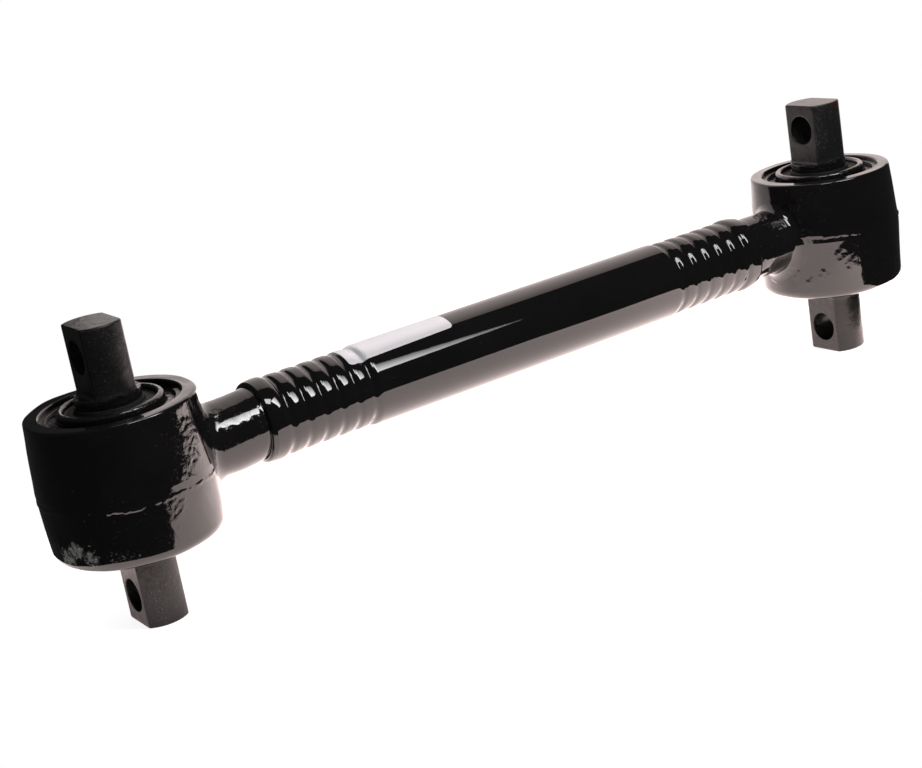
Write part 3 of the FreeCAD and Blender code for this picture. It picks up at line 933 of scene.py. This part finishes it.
ring = {
    "outerRadius": 43.8,
    "width": 5.0,
    "low": 38.6,
    "high": 41.1,
    "gapFrom": -5.0,
    "gap": 60.0,
}


def makeBush(side):
    # A turned body: up beside the pin, over the lip and the neck's dished top, then out under the plate.
    play = bush["play"]
    rows = pinRows()
    inner = rows[rows[:, 0] < bush["lipTop"] - 1.0][:, [1, 0]] + [play, 0.0]
    base = pin["baseRadius"] + play
    neck, wide = plate["innerRadius"] - play, rod["boreRadius"] - play
    upper = roundedLine([
        (base, bush["lipTop"] - 0.9, 0.0),
        (base, bush["lipTop"], 0.3),
        (base + 0.9, bush["lipTop"], 0.4),
        (base + bush["lipWidth"], bush["neckTop"] - 0.4, 1.2),
        (neck - 1.6, bush["neckTop"] - 0.6, 1.2),
        (neck, bush["neckTop"] + 0.6, 0.5),
        (neck, plate["low"] - play, 0.5),
        (wide, plate["low"] - play, 0.8),
        (wide, 0.0, 0.0),
    ], step=1.5)
    half = np.concatenate([inner, upper])
    line = np.concatenate([half, (half * [1.0, -1.0])[::-1][1:-1]])
    grid = turnGrid(line, bush["columns"]) + [side * rod["eyeMiddle"], 0.0, 0.0]
    return [(grid, True, True)]


def makePlate(side, level):
    # A turned plate with a collar standing round the rubber's neck.
    line = roundedLine([
        (plate["innerRadius"], plate["low"], 0.4),
        (plate["innerRadius"], plate["collarTop"], 1.9),
        (plate["collarRadius"], plate["collarTop"], 2.2),
        (plate["collarRadius"], plate["high"], 1.4),
        (plate["outerRadius"], plate["high"], 0.4),
        (plate["outerRadius"], plate["low"], 0.4),
    ], closed=True, step=1.6)
    grid = turnGrid(line if level > 0 else line[::-1], plate["columns"]) * [1.0, 1.0, level]
    return [(grid + [side * rod["eyeMiddle"], 0.0, 0.0], True, True)]


def makeRing(side, level):
    # A square wire carried round the arc of the split ring, closed at its two ends.
    inner = ring["outerRadius"] - ring["width"]
    section = roundedLine([
        (inner, ring["low"], 0.35), (inner, ring["high"], 0.35),
        (ring["outerRadius"], ring["high"], 0.35), (ring["outerRadius"], ring["low"], 0.35)],
        closed=True, step=1.2)
    middle = section.mean(axis=0)
    start = math.radians(ring["gapFrom"] + ring["gap"])
    angle = start + np.linspace(0.0, math.radians(360.0 - ring["gap"]), 150)
    scale = np.ones(len(angle))
    angle = np.concatenate([[angle[0]] * 2, angle, [angle[-1]] * 2])
    scale = np.concatenate([[0.0, 0.6], scale, [0.6, 0.0]])[:, None]
    r = middle[0] + (section[None, :, 0] - middle[0]) * scale
    z = (middle[1] + (section[None, :, 1] - middle[1]) * scale) * level
    grid = np.stack([r * np.cos(angle)[:, None], r * np.sin(angle)[:, None], z], axis=2)
    if level < 0:
        grid = grid[::-1]
    return [(grid + [side * rod["eyeMiddle"], 0.0, 0.0], False, True)]


for sideName, side in sides.items():
    newPiece("rubberBush_" + sideName, makeBush(side), "rod", "rubber_bush_" + sideName,
             bushRubber)
    for levelName, level in (("upper", 1.0), ("lower", -1.0)):
        newPiece("coverPlate_" + sideName + "_" + levelName, makePlate(side, level), "rod",
                 "cover_plate_" + sideName + "_" + levelName, plateEnamel)
        newPiece("snapRing_" + sideName + "_" + levelName, makeRing(side, level), "rod",
                 "snap_ring_" + sideName + "_" + levelName, ringSteel)
print("bushes, plates and rings made")


# Stage, lights and camera

stage = {
    # The corners of the table top. Its edges are cut where the paint's reflections of it end.
    "tableTop": [(-0.15, 0.42), (-0.28, 0.22), (-0.36, 0.12), (-0.40, 0.0), (-0.42, -0.09), (-0.36, -0.125),
                 (-0.275, -0.15), (-0.165, -0.225), (-0.10, -0.288), (0.17, -0.29), (0.205, -0.25),
                 (0.30, -0.252), (0.305, -0.19), (0.33, -0.05), (0.75, 0.42)],
    "wallFrom": (-0.15, 0.42),
    "wallTo": (1.5, 0.42),
    "wallHeight": 2.3,
    "paperColour": (0.82, 0.805, 0.80),
    "glossTint": (1.0, 0.81, 0.77),
    "cameraGlow": 0.85,  # brings the paper up to white for the camera, and leaves a faint shadow
    "tableGloss": 2.5,  # how bright the table and the back sheet are in the paint
    "backGloss": 0.6,
    # Painted shadow: the paper's glow in the paint is dimmed round the foot of each eye.
    "footShade": {"left": (-0.305, 0.025, 0.75), "right": (0.275, 0.0, 0.25)},  # x, y and how dark
    "shadeReach": 0.11,
    # Painted light: the paper's glow in the paint is made brighter towards the right eye.
    "paintedLightEnd": 0.7,  # how much brighter the paper is beside the right eye than in the middle
    "paintedLightFrom": 0.05,
    "paintedLightTo": 0.4,
    "roomLight": 0.2,
    "roomGloss": 0.035,  # how bright the room is in the paint
    "frontBox": {"place": (0.385, -0.809, 1.075), "back": (0.515, -0.515, 0.686), "width": 0.40,
                 "height": 0.60, "watts": 10.0, "fade": 1.6},
    "sideBox": {"place": (-0.09, -0.60, 1.11), "back": (-0.275, -0.48, 0.83), "width": 0.28,
                "height": 0.28, "watts": 3.5, "fade": 0.0},
}

view = {
    "place": (-0.64328, -0.99154, 0.42504),
    "turn": -30.905,
    "rise": 16.869,
    "roll": -10.055,
    "lens": 70.84,
    "sensor": 36.0,
}


def makePaper(name, points, gloss):
    # A sheet of pale paper that the camera sees as white apart from the shadow. In the paint it glows with
    # a warm tint, with a painted shadow near the feet and painted light towards the right.
    mesh = bpy.data.meshes.new(name)
    mesh.from_pydata(points, [], [tuple(range(len(points)))])
    sheet = bpy.data.objects.new(name, mesh)
    bpy.context.scene.collection.objects.link(sheet)
    material = bpy.data.materials.new(name)
    material.use_nodes = True
    tree = material.node_tree
    shader = tree.nodes["Principled BSDF"]
    shader.inputs["Base Color"].default_value = (*stage["paperColour"], 1.0)
    shader.inputs["Roughness"].default_value = 0.9
    shader.inputs["Specular IOR Level"].default_value = 0.1
    glow = addNode(tree, "ShaderNodeEmission")
    lightPath = addNode(tree, "ShaderNodeLightPath")
    glossy = lightPath.outputs["Is Glossy Ray"]
    tree.links.new(mixColour(tree, glossy, (1.0, 1.0, 1.0), stage["glossTint"]), glow.inputs["Color"])
    place = addNode(tree, "ShaderNodeTexCoord").outputs["Object"]
    along = addNode(tree, "ShaderNodeSeparateXYZ")
    tree.links.new(place, along.inputs[0])
    # Painted light: the glow in the paint grows towards the right eye.
    atRight = stepNode(tree, along.outputs["X"], stage["paintedLightFrom"], stage["paintedLightTo"])
    right = mathNode(tree, "ADD", mathNode(tree, "MULTIPLY", atRight, stage["paintedLightEnd"]), 1.0)
    mirrored = mathNode(tree, "MULTIPLY", mathNode(tree, "MULTIPLY", glossy, gloss), right)
    # Painted shadow: the glow in the paint is dimmed round the foot of each eye.
    for x, y, dark in stage["footShade"].values():
        away = addNode(tree, "ShaderNodeVectorMath", operation="DISTANCE")
        tree.links.new(place, away.inputs[0])
        away.inputs[1].default_value = (x, y, 0.0)
        clear = stepNode(tree, away.outputs["Value"], 0.2 * stage["shadeReach"], stage["shadeReach"])
        shade = mathNode(tree, "ADD", mathNode(tree, "MULTIPLY", clear, dark), 1.0 - dark)
        mirrored = mathNode(tree, "MULTIPLY", mirrored, shade)
    seen = mathNode(tree, "MULTIPLY", lightPath.outputs["Is Camera Ray"], stage["cameraGlow"])
    tree.links.new(mathNode(tree, "ADD", seen, mirrored), glow.inputs["Strength"])
    both = addNode(tree, "ShaderNodeAddShader")
    tree.links.new(shader.outputs[0], both.inputs[0])
    tree.links.new(glow.outputs[0], both.inputs[1])
    tree.links.new(both.outputs[0], tree.nodes["Material Output"].inputs["Surface"])
    mesh.materials.append(material)
    return sheet


def makeStage():
    # A paper table top with cut edges, and a tall sheet of the same paper behind it, which only shows in
    # the gloss.
    makePaper("tableTop", [(x, y, 0.0) for x, y in stage["tableTop"]], stage["tableGloss"])
    low = [(*stage["wallFrom"], 0.0), (*stage["wallTo"], 0.0)]
    high = [(x, y, stage["wallHeight"]) for x, y, _ in reversed(low)]
    wall = makePaper("backSheet", low + high, stage["backGloss"])
    wall.visible_camera = False


def makeWorld():
    # White for the camera, plain light on everything, and nearly black in the paint.
    world = bpy.data.worlds.new("studio")
    bpy.context.scene.world = world
    world.use_nodes = True
    tree = world.node_tree
    room = tree.nodes["Background"]
    lightPath = addNode(tree, "ShaderNodeLightPath")
    dull = mathNode(tree, "SUBTRACT", 1.0, lightPath.outputs["Is Glossy Ray"])
    level = mathNode(tree, "ADD", mathNode(tree, "MULTIPLY", dull, stage["roomLight"]), stage["roomGloss"])
    level = mathNode(tree, "MAXIMUM", level, lightPath.outputs["Is Camera Ray"])
    tree.links.new(level, room.inputs["Strength"])
    room.inputs["Color"].default_value = (1.0, 1.0, 1.0, 1.0)


def areaLamp(name, settings):
    # A softbox that shines against the direction of its back. With a fade it is brighter on one side.
    lamp = bpy.data.lights.new(name, "AREA")
    lamp.shape = "RECTANGLE"
    lamp.size, lamp.size_y, lamp.energy = settings["width"], settings["height"], settings["watts"]
    lamp.use_nodes = True
    tree = lamp.node_tree
    across = addNode(tree, "ShaderNodeSeparateXYZ")
    tree.links.new(addNode(tree, "ShaderNodeNewGeometry").outputs["Parametric"], across.inputs[0])
    level = mathNode(tree, "MULTIPLY", across.outputs["X"], -settings["fade"])
    level = mathNode(tree, "ADD", level, 1.0 + 0.5 * settings["fade"])
    tree.links.new(level, tree.nodes["Emission"].inputs["Strength"])
    obj = bpy.data.objects.new(name, lamp)
    bpy.context.scene.collection.objects.link(obj)
    back = np.array(settings["back"])
    back = back / np.linalg.norm(back)
    right = np.cross([0.0, 0.0, 1.0], back)
    right /= np.linalg.norm(right)
    up = np.cross(back, right)
    turn = Matrix([[right[k], up[k], back[k]] for k in range(3)])
    obj.matrix_world = Matrix.Translation(settings["place"]) @ turn.to_4x4()
    return obj


def makeCamera():
    # The photograph's own view, with the camera rolled a little.
    turn, rise, roll = (math.radians(view[name]) for name in ("turn", "rise", "roll"))
    back = np.array([math.sin(turn) * math.cos(rise), -math.cos(turn) * math.cos(rise), math.sin(rise)])
    right = np.array([math.cos(turn), math.sin(turn), 0.0])
    up = np.cross(back, right)
    rolledRight = math.cos(roll) * right + math.sin(roll) * up
    rolledUp = -math.sin(roll) * right + math.cos(roll) * up
    matrix = Matrix([[rolledRight[k], rolledUp[k], back[k]] for k in range(3)])
    camera = bpy.data.cameras.new("camera")
    camera.sensor_width, camera.lens = view["sensor"], view["lens"]
    camera.clip_start, camera.clip_end = 0.05, 20.0
    obj = bpy.data.objects.new("camera", camera)
    bpy.context.scene.collection.objects.link(obj)
    obj.matrix_world = Matrix.Translation(view["place"]) @ matrix.to_4x4()
    bpy.context.scene.camera = obj


makeStage()
makeWorld()
areaLamp("frontBox", stage["frontBox"])
areaLamp("sideBox", stage["sideBox"])
makeCamera()
bpy.context.scene.view_settings.view_transform = "Standard"
print("stage, lights and camera made")
